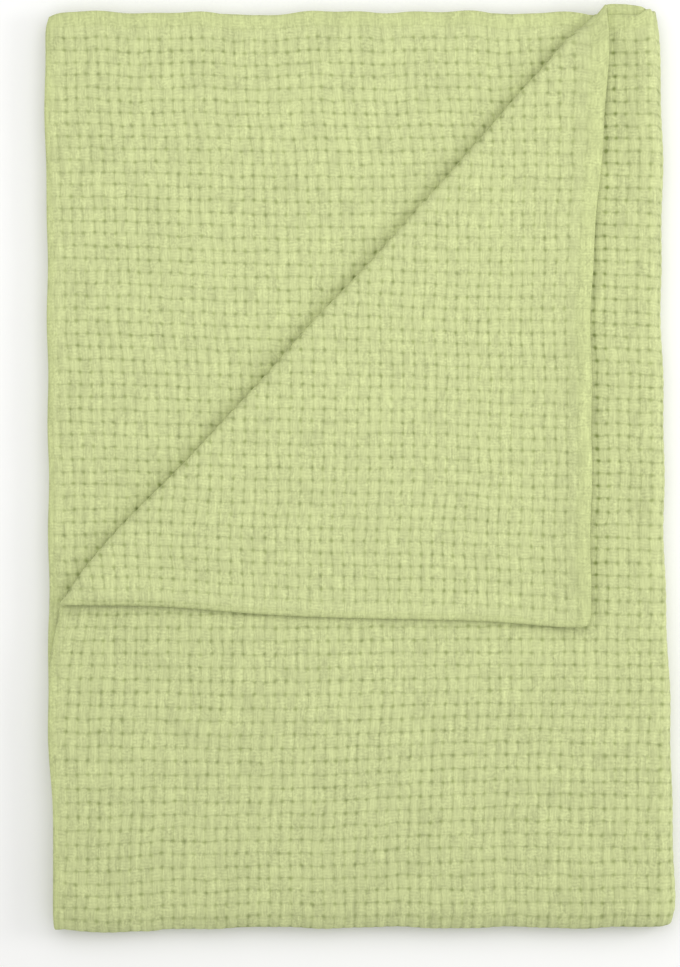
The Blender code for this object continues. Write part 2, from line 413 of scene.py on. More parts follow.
    def past_diagonal(self, x: Array, y: Array) -> Array:
        """How far each point in plan lies past the diagonal, on the free corner's side."""
        end, _, away = self.diagonal()
        return (x - end[0]) * away[0] + (y - end[1]) * away[1]

    def turn_back_corner(self, x: Array, y: Array, z: Array, is_top: Array) -> Triple:
        """Rolls the top layer's corner over the diagonal and lays it back on the top.

        A point past the diagonal goes round a half circle and then straight back, and slides along
        the roll by a share of that distance. What lies back sinks softly onto the top layer.

        Args:
            x: Places before the turn.
            y: Places before the turn.
            z: Heights before the turn.
            is_top: Whether each point is in the top layer.

        Returns:
            X, Y and Z after the turn.
        """
        _, along, away = self.diagonal()
        radius = self.corner_roll_radius
        roll = math.pi * radius
        past = self.past_diagonal(x, y) + radius + self.thickness / 2
        past = np.where(is_top, np.maximum(past, 0.0), 0.0)
        angle = np.minimum(past / radius, math.pi)
        back = np.maximum(past - roll, 0.0)
        shift = radius * np.sin(angle) - back - past
        skew = np.where(past < roll, past**2 / (2 * roll), past - roll / 2) * self.corner_skew
        settle = smooth_step(back, 0.0, self.corner_settling_reach)
        sink = (2 * radius - self.corner_settled_height) * settle
        x = x + away[0] * shift - along[0] * skew
        y = y + away[1] * shift - along[1] * skew
        return x, y, z + radius * (1 - np.cos(angle)) - sink

    def shift_softly(self, x: Array, y: Array, z: Array) -> Pair:
        """Moves the cloth sideways by the swells, each only in its own layers.

        Args:
            x: Places in plan.
            y: Places in plan.
            z: Heights, which tell the layers apart.

        Returns:
            The new X and Y.
        """
        top = self.top_layer_z
        shares = {
            Level.STACK: np.ones_like(z),
            Level.TOP_LAYER: smooth_step(z, top - self.pitch, top),
            Level.FLAP: smooth_step(z, top, top + self.corner_settled_height),
        }
        for row in self.swells:
            weight = bell(x, y, row) * shares[row.level]
            x, y = x + row.shift_x * weight, y + row.shift_y * weight
        return x, y

    def standing_up(self, x: Array, y: Array, z: Array, behind: Array) -> Array:
        """Where cloth stands up past the upper end: the roll's tip, the layer behind, and the corner.

        Args:
            x: Places in plan.
            y: Places in plan.
            z: Heights.
            behind: 1 in the layer behind the top one, 0 elsewhere.

        Returns:
            Shares of the raised edge's height.
        """
        tip_from, tip_full, tip_until, tip_end = self.tip_span
        tip = smooth_step(x, tip_from, tip_full) * (1 - smooth_step(x, tip_until, tip_end))
        rolled = smooth_step(z, self.top_layer_z, self.top_layer_z + self.corner_settled_height)
        start, full, end = self.layer_behind_span
        fall = 1 - self.layer_behind_fall * smooth_step(x, full, end)
        join_from, join_to, share = self.joined_corner
        joined = share * smooth_step(x, join_from, join_to)
        joined = joined * smooth_step(y, self.joined_from, self.stack_depth / 2)
        return tip * rolled + np.maximum(behind * smooth_step(x, start, full) * fall, joined)

    def settle(self, x: Array, y: Array, z: Array, behind: Array) -> Triple:
        """Leans, waves, raises and sinks the stack, and leaves its underside flat.

        Args:
            x: Places of the folded sheet.
            y: Places of the folded sheet.
            z: Heights of the folded sheet.
            behind: 1 in the layer behind the top one, 0 elsewhere.

        Returns:
            X, Y and Z of the settled stack.
        """
        x, y = self.shift_softly(x, y, z)
        height = z / self.top_layer_z
        standing = self.standing_up(x, y, z, behind)
        past_end = np.maximum(-y - self.stack_depth / 2 + self.end_rounding_reach, 0.0)
        z = z * (1 - self.end_rounding * (past_end / self.end_rounding_reach) ** self.end_rounding_power)
        to_top = smooth_step(y, self.end_ramp_start, self.stack_depth / 2)
        to_bottom = smooth_step(-y, self.end_ramp_start, self.stack_depth / 2)
        to_left = smooth_step(-x, self.side_ramp_start, self.stack_width / 2)
        recess = self.free_edge_recess * (1 - smooth_step(height, *self.covered_shares))
        recess_y = recess * (1 - np.cos(self.end_recess_by_height * height + self.end_recess_by_x * x))
        recess_x = recess * (1 - np.cos(self.side_recess_by_height * height + self.side_recess_by_y * y))
        blend = self.lower_left_blend
        drop = 1 - smooth_step(x, self.lower_left_end - blend, self.lower_left_end + blend)
        ripple = wave_sum(x, self.end_waves)
        new_y = y + to_top * (self.raised_edge * standing - recess_y + ripple)
        new_y = new_y - to_bottom * (self.lower_left_drop * drop + ripple / 2)
        new_x = x * (1 - self.side_spread * y / (self.stack_depth / 2)) - self.side_lean * y
        new_x = new_x + to_left * recess_x + wave_sum(y, self.side_waves)
        rise = sum(row.height * bell(new_x, new_y, row) for row in self.rises)
        rise = rise - self.trough(x, y, z)
        return new_x, new_y, z + (rise + self.unevenness(new_x, new_y)) * np.clip(height, 0.0, 1.0)

    def trough(self, x: Array, y: Array, z: Array) -> Array:
        """The soft trough that the diagonal roll leaves beside it in the layers below the top one.

        Its depth falls off as e to minus the squared share of its reach.

        Args:
            x: Places in plan.
            y: Places in plan.
            z: Heights, which tell the layers apart.

        Returns:
            Depths.
        """
        depth, reach = self.crease_trough
        below = 1 - smooth_step(z, self.top_layer_z - self.pitch, self.top_layer_z)
        return depth * below * np.exp(-((self.past_diagonal(x, y) / reach) ** 2))

    def unevenness(self, x: Array, y: Array) -> Array:
        """The small rise and fall of soft cloth: a sum of sine waves, each across its own direction.

        Args:
            x: Places in plan.
            y: Places in plan.

        Returns:
            Heights.
        """
        total = np.zeros_like(x)
        for row in self.ripples:
            angle = math.radians(row.direction)
            position = x * math.cos(angle) + y * math.sin(angle)
            total = total + row.amplitude * np.sin(2 * math.pi * position / row.length + row.start)
        return total

    def before_turning(self, u: Array, v: Array) -> Triple:
        """Folds the flat sheet, and leaves its corner unturned.

        Args:
            u: Places along the sheet.
            v: Places across the sheet.

        Returns:
            X, Y and Z of each point.
        """
        y, lift = self.fold_across(v)
        x, z = self.fold_along(u, lift)
        return x, y, z

    def past_when_flat(self, u: Array, v: Array) -> Array:
        """How far each point of the sheet lies past the diagonal before the corner is turned."""
        x, y, _ = self.before_turning(u, v)
        return self.past_diagonal(x, y)

    def in_top_pair(self, u: Array) -> Array:
        """Whether each point of the sheet is in the two top layers, short of the first turn."""
        return u < self.route()[0].length

    def place(self, u: Array, v: Array) -> Array:
        """Where each point of the flat sheet lies in the folded throw.

        Args:
            u: Places along the sheet.
            v: Places across the sheet.

        Returns:
            An array with a row of X, Y and Z for each point.
        """
        x, y, z = self.before_turning(u, v)
        top_end = self.route()[0].length
        is_top = self.in_top_pair(u) & (v > 0)
        first, last = self.layer_behind_end
        behind = np.where(v < 0, 1 - smooth_step(u, top_end + first, top_end + last), 0.0)
        past = self.past_diagonal(x, y)
        x, y, z = self.settle(*self.turn_back_corner(x, y, z, is_top), behind)
        return np.stack((x, y, z + np.where(is_top, self.curl(u, v, past), 0.0)), axis=1)

    def curl(self, u: Array, v: Array, past: Array) -> Array:
        """How far the turned corner's free borders stand up, unevenly: most a little inside the edge.

        The side border is lifted as a whole, least near the top. The lower border's edge droops to
        the layer below it, from as high as the roll still holds the cloth there.

        Args:
            u: Places along the sheet.
            v: Places across the sheet.
            past: How far each point lay past the diagonal before it was turned.

        Returns:
            Heights.
        """
        from_side = self.half_width - v
        in_lower_border = u < from_side
        nearest = np.minimum(u, from_side)
        reach, extra_below, extra_at_side = self.border_tip
        extra = np.where(in_lower_border, extra_below, extra_at_side)
        near_tip = extra * (1 - smooth_step(past, 0.0, reach))
        uneven = 1 + wave_sum(u - v, (self.border_wave,)) + near_tip
        inside = smooth_step(nearest, self.border_rise_from, self.border_crest)
        crest = inside * (1 - smooth_step(nearest, self.border_crest, self.border_reach))
        radius = self.corner_roll_radius
        unsettled = 2 * radius - self.corner_settled_height
        settled = smooth_step(past - math.pi * radius, 0.0, self.corner_settling_reach)
        droop = np.where(in_lower_border, unsettled * (1 - settled) * (1 - inside), 0.0)
        lift = ease(u, self.side_lift_span, *self.side_lift)
        lift = lift * (1 - smooth_step(from_side, *self.side_lift_reach))
        return smooth_step(past, *self.border_start) * (self.border_curl * uneven * crest + lift - droop)

    def laid_back(self, u: Array, v: Array) -> Array:
        """1 in the turned corner past its roll, 0 in the rest of the sheet."""
        share = smooth_step(self.past_when_flat(u, v), *self.laid_back_span)
        return np.where(self.in_top_pair(u) & (v > 0), share, 0.0)

    def directions(self, u: Array, v: Array, step: float = 0.0002) -> Triple:
        """The cloth's own directions at each point, as differences between places a short step apart.

        Args:
            u: Places along the sheet.
            v: Places across the sheet.
            step: Half the distance between the two places.

        Returns:
            Unit vectors along u, along v, and out of the outer face.
        """
        along = unit(self.place(u + step, v) - self.place(u - step, v))
        across = unit(self.place(u, v + step) - self.place(u, v - step))
        return along, across, unit(np.cross(along, across))


@dataclass(frozen=True)
class BasketWeave:
    """Where the weave's cells lie on the flat sheet, and how its floats and hems swell.

    A cell is a small block of parallel yarns. Cells are counted from the free end along the sheet
    and from the fold across it, and the last cell on each side across is the turned hem.
    """

    stack: FoldedStack

    # The cells and the hems.
    cell_length: float = 0.008717
    rows: int = 71
    spacing_swell: float = 0.045
    end_hem: float = 0.0048
    side_hem: float = 0.0115
    hem_step: float = 0.0012
    edge_inset: float = 0.0015
    end_slack: float = 0.003
    corner_rounding: float = 0.0022
    corner_reach: float = 0.012
    first_column: int = -2
    last_column: int = 230
    lean: float = 0.038
    lean_full_until: float = 0.27
    lean_fade: float = 0.13
    lean_columns: Span = (62.0, 76.0)

    # Their relief.
    float_height: float = 0.00026
    pit_depth: float = 0.00034
    hem_height: float = 0.00032
    arch_fullness: float = 1.15
    arch_shares: tuple[float, float, float] = (0.4, 0.45, 0.15)
    least_relief: float = 0.8
    relief_spread: float = 0.4

    # How strong the painted shade in the gaps is near the ends and sides, in the bend, beside the turned
    # corner and its roll.
    opening_at_end: float = 0.5
    opening_past_end: Span = (0.007, 0.016)
    opening_at_side: float = 0.45
    opening_past_side: Span = (0.012, 0.024)
    hem_closing: float = 0.6
    # Partly a real opening of the weave round the fold, partly painted shade on the fold that turns from
    # the light.
    bend_opening_and_shade: float = 0.8
    bend_reach: Span = (0.001, 0.010)
    # Painted shade in the crevice beside the diagonal roll.
    crease_shade: float = 0.5
    crease_offset: float = 0.0008
    crease_reach: float = 0.0036
    # Painted shadow beside the turned corner's raised side border.
    flap_shade: float = 0.65
    flap_reach: float = 0.0095
    flap_start_y: Span = (-0.142, -0.110)
    flap_border_y: tuple[float, ...] = (-0.135, 0.05, 0.174, 0.227, 0.281, 0.335)
    flap_border_x: tuple[float, ...] = (0.1915, 0.1947, 0.1985, 0.2042, 0.2075, 0.2108)
    # Painted shade along the turned corner's lower hem, where it turns under.
    rim_shade: Span = (0.85, 0.35)
    rim_fade: Span = (0.070, 0.115)
    rim_start: Span = (0.006, 0.014)
    rim_width: Span = (0.005, 0.0095)

    # Where handling has moved the threads, held at the fold and at the sides.
    held_at_fold: Span = (0.003, 0.06)
    held_at_side: Span = (0.62, 0.735)
    drifts: tuple[Drift, ...] = (
        Drift(0.19, -0.47, 0.14, 0.17, 0.0, 0.0048),
        Drift(0.05, -0.56, 0.07, 0.10, 0.0, -0.0022),
        Drift(0.16, 0.13, 0.14, 0.11, 0.0, -0.0046),
        Drift(0.36, 0.10, 0.10, 0.09, 0.0, 0.0032),
        Drift(0.027, 0.262, 0.11, 0.034, 0.0, -0.0085),
        Drift(0.03, 0.17, 0.08, 0.07, 0.0, 0.0028),
        Drift(0.56, 0.50, 0.10, 0.22, 0.0, -0.0065),
        Drift(0.12, 0.60, 0.07, 0.06, 0.0016, 0.0018),
        Drift(0.25, 0.66, 0.09, 0.07, -0.0020, 0.0),
        Drift(0.30, -0.62, 0.10, 0.08, 0.0018, 0.0),
        Drift(0.02, 0.08, 0.06, 0.12, 0.0, -0.0040),
    )

    def leaning(self, v: Array, columns: Array) -> Array:
        """How far the columns lean along the sheet: in proportion to v, levelling off near the hems.

        Args:
            v: Places across the sheet.
            columns: Cell numbers along the sheet, since the lean fades out in the hidden layers.

        Returns:
            Shifts along the sheet.
        """
        past = np.clip(v - self.lean_full_until, 0.0, self.lean_fade)
        reach = np.minimum(v, self.lean_full_until) + past - past**2 / (2 * self.lean_fade)
        return self.lean * reach * (1 - smooth_step(columns, *self.lean_columns))

    def on_sheet(self, columns: Array, rows: Array) -> Pair:
        """Places on the flat sheet of points given in cells.

        Across, the spacing is widest at the fold: share plus swell times sin(pi share) over pi.
        Along, it is even but for the lean and the drifts. Columns that would lie past an end are
        drawn together evenly within the end's hem, as threads taken up in a turned hem.

        Args:
            columns: Cell numbers along the sheet.
            rows: Cell numbers across the sheet, negative below the fold.

        Returns:
            Places along and across the sheet.
        """
        half = self.stack.half_width
        share = np.minimum(np.abs(rows) / self.rows, 1.0)
        woven = (half - self.side_hem) * (share + self.spacing_swell * np.sin(math.pi * share) / math.pi)
        in_hem = np.maximum(np.abs(rows) - self.rows, 0.0)
        v = np.sign(rows) * (woven + in_hem * (self.side_hem - self.edge_inset))
        lean = self.leaning(v, columns)
        u = columns * self.cell_length + lean
        held = smooth_step(np.abs(v), *self.held_at_fold) * (1 - smooth_step(np.abs(v), *self.held_at_side))
        for row in self.drifts:
            weight = bell(u, v, row) * held
            u, v = u + row.shift_u * weight, v + row.shift_v * weight
        first = self.first_column * self.cell_length + lean - self.end_slack
        last = self.last_column * self.cell_length + lean + self.end_slack
        u = self.gather(u, first, self.edge_inset, self.end_hem)
        length = self.stack.length
        u = length - self.gather(length - u, length - last, self.edge_inset, self.end_hem)
        return self.round_corners(u, v)

    @staticmethod
    def gather(distance: Array, lowest: Array, edge: float, hem: float) -> Array:
        """Draws the points that are nearer than hem to an end together between edge and hem, evenly."""
        share = np.clip((distance - lowest) / (hem - lowest), 0.0, 1.0)
        return np.where(distance < hem, edge + (hem - edge) * share, distance)

    def round_corners(self, u: Array, v: Array) -> Pair:
        """Draws the sheet's four corners in a little, by a share of both distances from the edges.

        Args:
            u: Places along the sheet.
            v: Places across the sheet.

        Returns:
            The new places along and across.
        """
        end_share, side_share = (
            np.clip(1 - near / self.corner_reach, 0.0, 1.0) for near in self.edge_distances(u, v)
        )
        pull = self.corner_rounding * (end_share * side_share) ** 2
        u = u + np.where(u < self.stack.length / 2, pull, -pull)
        return u, v - np.sign(v) * pull

    def edge_distances(self, u: Array, v: Array) -> Pair:
        """Distances of places on the sheet from the nearer end and from the nearer side."""
        return np.minimum(u, self.stack.length - u), self.stack.half_width - np.abs(v)

    def hem(self, u: Array, v: Array) -> Array:
        """1 in the turned hem, 0 in the open weave, with a soft step between them.

        Args:
            u: Places along the sheet.
            v: Places across the sheet.

        Returns:
            Numbers from 0 to 1.
        """
        step = self.hem_step
        near_end, near_side = self.edge_distances(u, v)
        at_end = 1 - smooth_step(near_end, self.end_hem - step, self.end_hem + step)
        at_side = 1 - smooth_step(near_side, self.side_hem - step, self.side_hem + step)
        return np.maximum(at_end, at_side)

    def gap_shade_strength(self, u: Array, v: Array) -> Array:
        """How strong the painted shade in the gaps between cells is.

        It is faint where the hem's turned layer lies behind the gaps. It is stronger in the bend, partly
        because the weave opens there and partly as painted shade on the fold that turns from the light.
        Beside the turned corner's side border, along its lower hem and where the second layer comes out
        from under the diagonal roll, the extra darkness is painted shade only.

        Args:
            u: Places along the sheet.
            v: Places across the sheet.

        Returns:
            Factors, 1 in the open weave.
        """
        near_end, near_side = self.edge_distances(u, v)
        by_end = ease(near_end, self.opening_past_end, self.opening_at_end, 1.0)
        by_side = ease(near_side, self.opening_past_side, self.opening_at_side, 1.0)
        by_hem = 1 - self.hem_closing * self.hem(u, v)
        # Painted shade in the crevice beside the diagonal roll.
        bent = 1 + self.crease_shade * self.shade_beside_crease(u, v)
        # Painted shadow beside the turned corner's side border.
        bent = bent + self.flap_shade * self.shade_beside_flap(u, v)
        # In the bend the weave opens, and painted shade darkens the fold that turns from the light.
        bent = bent + self.bend_opening_and_shade * (1 - smooth_step(np.abs(v), *self.bend_reach))
        # The turned corner's lower hem gets painted shade where it turns under.
        return np.maximum(by_end * by_side * by_hem * bent, self.rim_painted_shade(u, v))

    def rim_painted_shade(self, u: Array, v: Array) -> Array:
        """Painted shade in the gaps of the turned corner's lower hem, for the shadow where it turns under:
        most at its left.

        Args:
            u: Places along the sheet.
            v: Places across the sheet.

        Returns:
            Factors, 0 outside that hem.
        """
        past = self.stack.past_when_flat(u, v)
        share = ease(past, self.rim_fade, *self.rim_shade)
        share = share * smooth_step(past, *self.rim_start) * (1 - smooth_step(u, *self.rim_width))
        return np.where(self.stack.in_top_pair(u) & (v > 0), share, 0.0)

    def shade_beside_crease(self, u: Array, v: Array) -> Array:
        """Where painted shade darkens the gaps in the crevice beside the diagonal roll: 1 on the second
        layer where it comes out from under the roll, 0 a few mm away.

        Args:
            u: Places along the sheet.
            v: Places across the sheet.

        Returns:
            Numbers from 0 to 1.
        """
        away = self.stack.past_when_flat(u, v) - self.crease_offset
        near = np.exp(-((away / self.crease_reach) ** 2))
        return np.where(self.stack.in_top_pair(u) & (v < 0), near, 0.0)

    def shade_beside_flap(self, u: Array, v: Array) -> Array:
        """Where painted shadow darkens the gaps beside the turned corner's side border: 1 on the top layer
        along that border, 0 about a centimetre away.

        Args:
            u: Places along the sheet.
            v: Places across the sheet.

        Returns:
            Numbers from 0 to 1.
        """
        x, y, _ = self.stack.before_turning(u, v)
        away = x - np.interp(y, self.flap_border_y, self.flap_border_x)
        near = smooth_step(y, *self.flap_start_y) * np.exp(-((away / self.flap_reach) ** 2))
        is_top = self.stack.in_top_pair(u) & (v > 0) & (self.stack.past_diagonal(x, y) < 0)
        return np.where(is_top, near, 0.0)

    def relief(self, columns: Array, rows: Array, u: Array, v: Array) -> Array:
        """How far the cloth's face stands out: floats swell between the cell lines, corners sink.

        The height is minus the pit depth, plus a share for each direction's arch, where an arch is
        the sine of pi times the place in the cell, cut off flat at the top. A hem stands out evenly.

        Args:
            columns: Cell numbers along the sheet.
            rows: Cell numbers across the sheet.
            u: Places along the sheet.
            v: Places across the sheet.

        Returns:
            Heights over the cloth's mean face.
        """
        arch_u, arch_v = (
            np.minimum(self.arch_fullness * np.abs(np.sin(math.pi * cell)), 1.0) for cell in (columns, rows)
        )
        by_u, by_v, by_both = self.arch_shares
        arch = by_u * arch_u + by_v * arch_v + by_both * arch_u * arch_v
        pillow = -self.pit_depth + (self.float_height + self.pit_depth) * arch
        uneven = self.least_relief + self.relief_spread * scatter(np.floor(columns), np.floor(rows))
        hem = self.hem(u, v)
        return hem * self.fullness(u, v) + (1 - hem) * uneven * pillow

    def fullness(self, u: Array, v: Array) -> Array:
        """How far a hem's faces stand out: most in the turned corner, where nothing presses on them."""
        return self.hem_height + self.stack.border_fullness * self.stack.laid_back(u, v)


@dataclass
class FaceGrid:
    """One face of the cloth as cells that are split as finely as they show.

    Each base cell is a block of STEPS by STEPS lattice steps, of which it uses 1, 2, 3 or 6 each way.
    """

    STEPS: ClassVar[int] = 6
    PARTS: ClassVar[tuple[int, ...]] = (1, 2, 3, 6)

    side: Side
    split_u: Array
    split_v: Array
    used: Array = field(init=False)

    def __post_init__(self) -> None:
        """Marks the lattice points that the cells of this face use."""
        columns, rows = self.split_u.shape
        self.used = np.zeros((columns * self.STEPS + 1, rows * self.STEPS + 1), dtype=bool)
        for first, second, width, height in self.blocks():
            self.used[first, second] = True
            self.used[first + width, second] = True
            self.used[first, second + height] = True
            self.used[first + width, second + height] = True

    def blocks(self) -> list[tuple[Array, Array, int, int]]:
        """The small faces of all cells, grouped by their size in lattice steps.

        Returns:
            For each size, the lattice places of the faces' first corners, their width and height.
        """
        groups = []
        for by_u in self.PARTS:
            for by_v in self.PARTS:
                cells = np.argwhere((self.split_u == by_u) & (self.split_v == by_v))
                if not len(cells):
                    continue
                width, height = self.STEPS // by_u, self.STEPS // by_v
                step_u = np.arange(by_u)[None, :, None] * width
                step_v = np.arange(by_v)[None, None, :] * height
                first = cells[:, 0, None, None] * self.STEPS + step_u + 0 * step_v
                second = cells[:, 1, None, None] * self.STEPS + step_v + 0 * step_u
                groups.append((first.ravel(), second.ravel(), width, height))
        return groups

    def loops(self, number: Array) -> tuple[Array, Array]:
        """The corners of every small face, with the points that finer neighbours set on its sides.

        Each face has up to four times STEPS candidates round its border, and keeps the used ones.

        Args:
            number: The mesh's vertex number of each lattice point.

        Returns:
            The vertex numbers of all faces one after the other, and how many each face has.
        """
        corners, counts = [], []
        step = np.arange(self.STEPS)[None, :]
        for first, second, width, height in self.blocks():
            i, j = first[:, None], second[:, None]
            along, up = np.minimum(step, width), np.minimum(step, height)
            ring_i = np.hstack((i + along, i + width + 0 * up, i + width - along, i + 0 * up))
            ring_j = np.hstack((j + 0 * along, j + up, j + height + 0 * along, j + height - up))
            in_width, in_height = step < width, step < height
            inside = np.hstack((in_width, in_height, in_width, in_height))
            keep = np.broadcast_to(inside, ring_i.shape) & self.used[ring_i, ring_j]
            ids = number[ring_i, ring_j]
            if self.side is Side.INNER:
                ids, keep = ids[:, ::-1], keep[:, ::-1]
            corners.append(ids[keep])
            counts.append(keep.sum(axis=1))
        return np.concatenate(corners), np.concatenate(counts)


@dataclass
class ThrowMesh:
    """The whole cloth as one closed mesh: two woven faces joined by rounded edges."""

    stack: FoldedStack = field(default_factory=FoldedStack)
    weave: BasketWeave = field(init=False)

    # Base lines, in cells, and the parts that cells are split into where they show.
    hidden_spacing: float = 5.0
    inner_turns: tuple[int, ...] = (3, 5)
    inner_turn_lines: int = 8
    lines_past_lean: int = 2
    hairpin_cells: float = 0.25
    parts_shown: int = 3
    parts_in_bends: int = 6

    # Margins that tell what shows from what is covered.
    above_fold: float = 1e-6
    roll_margin: float = 0.001
    turn_margin: float = 0.002
    turn_unseen: float = 0.006
    roll_overhang: float = 0.012
    hairpin_reach: float = 0.004
    narrow_cell: float = 0.005
    right_of_flap: tuple[float, float, float, float] = (0.2056, 0.3663, 0.1893, -0.1284)
    below_flap: tuple[float, float, float, float] = (-0.2424, -0.1063, 0.1893, -0.1292)
    cover_margin: float = 0.014

    # The rounded edges.
    edge_segments: int = 4
    # Painted shade on the rounded edge of the turned corner's lower hem.
    edge_rim_shade: float = 0.8

    def __post_init__(self) -> None:
        """Sets out the weave on the folded sheet."""
        self.weave = BasketWeave(self.stack)

    def column_lines(self) -> Array:
        """Base lines across the sheet: one for each cell where it shows, wider apart where hidden.

        Returns:
            Cell numbers along the sheet, in order.
        """
        weave = self.weave
        shown_until = weave.lean_columns[0] + self.lines_past_lean
        starts = np.cumsum([row.length for row in self.stack.route()]) / weave.cell_length
        lines = list(np.arange(weave.first_column, shown_until + 1))
        for turn in self.inner_turns:
            before = starts[turn - 1]
            steps = max(2, round((before - lines[-1]) / self.hidden_spacing))
            lines += list(np.linspace(lines[-1], before, steps + 1)[1:])
            lines += list(np.linspace(before, starts[turn], self.inner_turn_lines + 1)[1:])
        steps = round((weave.last_column - 1 - lines[-1]) / self.hidden_spacing)
        lines += list(np.linspace(lines[-1], weave.last_column - 1, steps + 1)[1:])
        return np.array([*lines, weave.last_column], dtype=float)

    def row_lines(self) -> Array:
        """Base lines along the sheet, in cells: each cell, and two more round the fold at the middle."""
        upper = [self.hairpin_cells, *range(1, self.weave.rows + 2)]
        return np.array([*[-row for row in reversed(upper)], 0.0, *upper], dtype=float)

    def split_cells(self, columns: Array, rows: Array) -> dict[Side, Pair]:
        """Decides how finely each base cell of each face is split, from whether it shows.

        Args:
            columns: Base lines across the sheet, in cells.
            rows: Base lines along the sheet, in cells.

        Returns:
            For each face, the number of parts along and across for every base cell.
        """
        stack = self.stack
        grid_u, grid_v = np.meshgrid(columns, rows, indexing="ij")
        u, v = self.weave.on_sheet(grid_u.ravel(), grid_v.ravel())
        x, y, _ = stack.before_turning(u, v)
        corners = [a.reshape(grid_u.shape) for a in (u, v, x, y, stack.past_diagonal(x, y))]
        u_low, v_low, x_low, y_low, past_low = (self.of_corners(a, np.minimum) for a in corners)
        u_high, v_high, _, _, past_high = (self.of_corners(a, np.maximum) for a in corners)
        top_end = stack.route()[0].length
        turn_end = top_end + stack.route()[1].length
        start = -(stack.corner_roll_radius + stack.thickness / 2)
        roll_end = start + math.pi * stack.corner_roll_radius
        upper, in_top = v_high > self.above_fold, u_low < top_end
        rolled = upper & in_top & (past_high > start - self.roll_margin)
        rolled &= past_low < roll_end + self.roll_margin
        turned = upper & in_top & (past_low >= start)
        flat_top = upper & (past_high <= start) & ~self.under_flap(x_low, y_low, past_high)
        shows_outer = flat_top & (u_low < turn_end - self.turn_unseen)
        second = ~upper & in_top & (past_high > -self.roll_overhang)
        turning = (u_high > top_end - self.turn_margin) & (u_low < turn_end + self.turn_margin)
        hairpin = np.abs(v_low + v_high) < self.hairpin_reach
        shown, bent = self.parts_shown, self.parts_in_bends
        splits = {}
        for side, shows in ((Side.OUTER, shows_outer), (Side.INNER, turned | second)):
            by_u = np.where(shows | turning, shown, 1)
            by_u = np.where(u_high - u_low < self.narrow_cell, 1, by_u)
            by_v = np.where(hairpin, bent, np.where(shows, shown, 1))
            splits[side] = (np.where(rolled, bent, by_u), np.where(rolled, bent, by_v))
        return splits

    @staticmethod
    def of_corners(values: Array, pick: Any) -> Array:
        """The lowest or highest of the values at each base cell's four corners."""
        return pick(pick(values[:-1, :-1], values[1:, :-1]), pick(values[:-1, 1:], values[1:, 1:]))

    def under_flap(self, x: Array, y: Array, past: Array) -> Array:
        """Whether places in plan are covered by the turned corner, more than a margin from its edges.

        Args:
            x: Places in plan.
            y: Places in plan.
            past: How far each place lies past the diagonal.

        Returns:
            True where the turned corner covers the place.
        """
        x0, y0, x1, y1 = self.right_of_flap
        right = x0 + (y - y0) * (x1 - x0) / (y1 - y0)
        x0, y0, x1, y1 = self.below_flap
        bottom = y0 + (x - x0) * (y1 - y0) / (x1 - x0)
        margin = self.cover_margin
        return (x < right - margin) & (y > bottom + margin) & (past < -margin)

    def build(self, name: str) -> tuple[bpy.types.Object, Array]:
        """Makes the closed mesh and centres it over the origin.

        Args:
            name: The name of the new object.

        Returns:
            The object, and the shift that centred it.
        """
        columns, rows = self.column_lines(), self.row_lines()
        splits = self.split_cells(columns, rows)
        faces = {side: FaceGrid(side, *splits[side]) for side in Side}
        outer, inner = faces[Side.OUTER], faces[Side.INNER]
        border = np.zeros_like(outer.used)
        border[[0, -1], :] = True
        border[:, [0, -1]] = True
        shared = border & (outer.used | inner.used)
        outer.used |= shared
        inner.used |= shared
        points, corners, counts, numbers, total = [], [], [], {}, 0
        for side, face in faces.items():
            points.append(self.face_points(face, columns, rows))
            count = len(points[-1][0])
            numbers[side] = np.full(face.used.shape, -1)
            numbers[side][face.used] = np.arange(total, total + count)
            total += count
            face_corners, face_counts = face.loops(numbers[side])
            corners.append(face_corners)
            counts.append(face_counts)
        points.append(self.edge_points(shared, columns, rows))
        strips = self.edge_faces(numbers, self.border_walk(shared), total)
        corners.append(strips.ravel())
        counts.append(np.full(len(strips), 4))
        co, cells, tone = (np.concatenate(part) for part in zip(*points))
        shift = self.centring(co)
        mesh = self.to_mesh(name, co + shift, np.concatenate(corners), np.concatenate(counts))
        self.add_layers(mesh, cells, tone)
        throw = bpy.data.objects.new(name, mesh)
        bpy.context.scene.collection.objects.link(throw)
        return throw, shift

    def cells_at(self, i: Array, j: Array, columns: Array, rows: Array) -> Pair:
        """The cell numbers of lattice points, evenly spaced between the base lines."""
        along = np.interp(i / FaceGrid.STEPS, np.arange(len(columns)), columns)
        return along, np.interp(j / FaceGrid.STEPS, np.arange(len(rows)), rows)

    def face_points(self, face: FaceGrid, columns: Array, rows: Array) -> Triple:
        """Places, cell numbers and tones of the points of one face.

        A point lies half the cloth's thickness and the relief away from the middle surface.

        Args:
            face: The face.
            columns: Base lines across the sheet, in cells.
            rows: Base lines along the sheet, in cells.

        Returns:
            Rows of X, Y and Z, rows of cell numbers, and rows of hem and of how strong the painted shade in
            the gaps is.
        """
        i, j = np.nonzero(face.used)
        cells = self.cells_at(i, j, columns, rows)
        u, v = self.weave.on_sheet(*cells)
        normal = self.stack.directions(u, v)[2]
        fine = self.is_fine(face, i, j)
        plain = self.weave.hem(u, v) * self.weave.fullness(u, v)
        relief = np.where(fine, self.weave.relief(*cells, u, v), plain)
        away = face.side.value * (self.stack.thickness / 2 + relief)
        co = self.stack.place(u, v) + normal * away[:, None]
        # The hem, and how strong the painted shade in the gaps is.
        tone = np.stack((self.weave.hem(u, v), self.weave.gap_shade_strength(u, v)), axis=1)
        return co, np.stack(cells, axis=1), tone

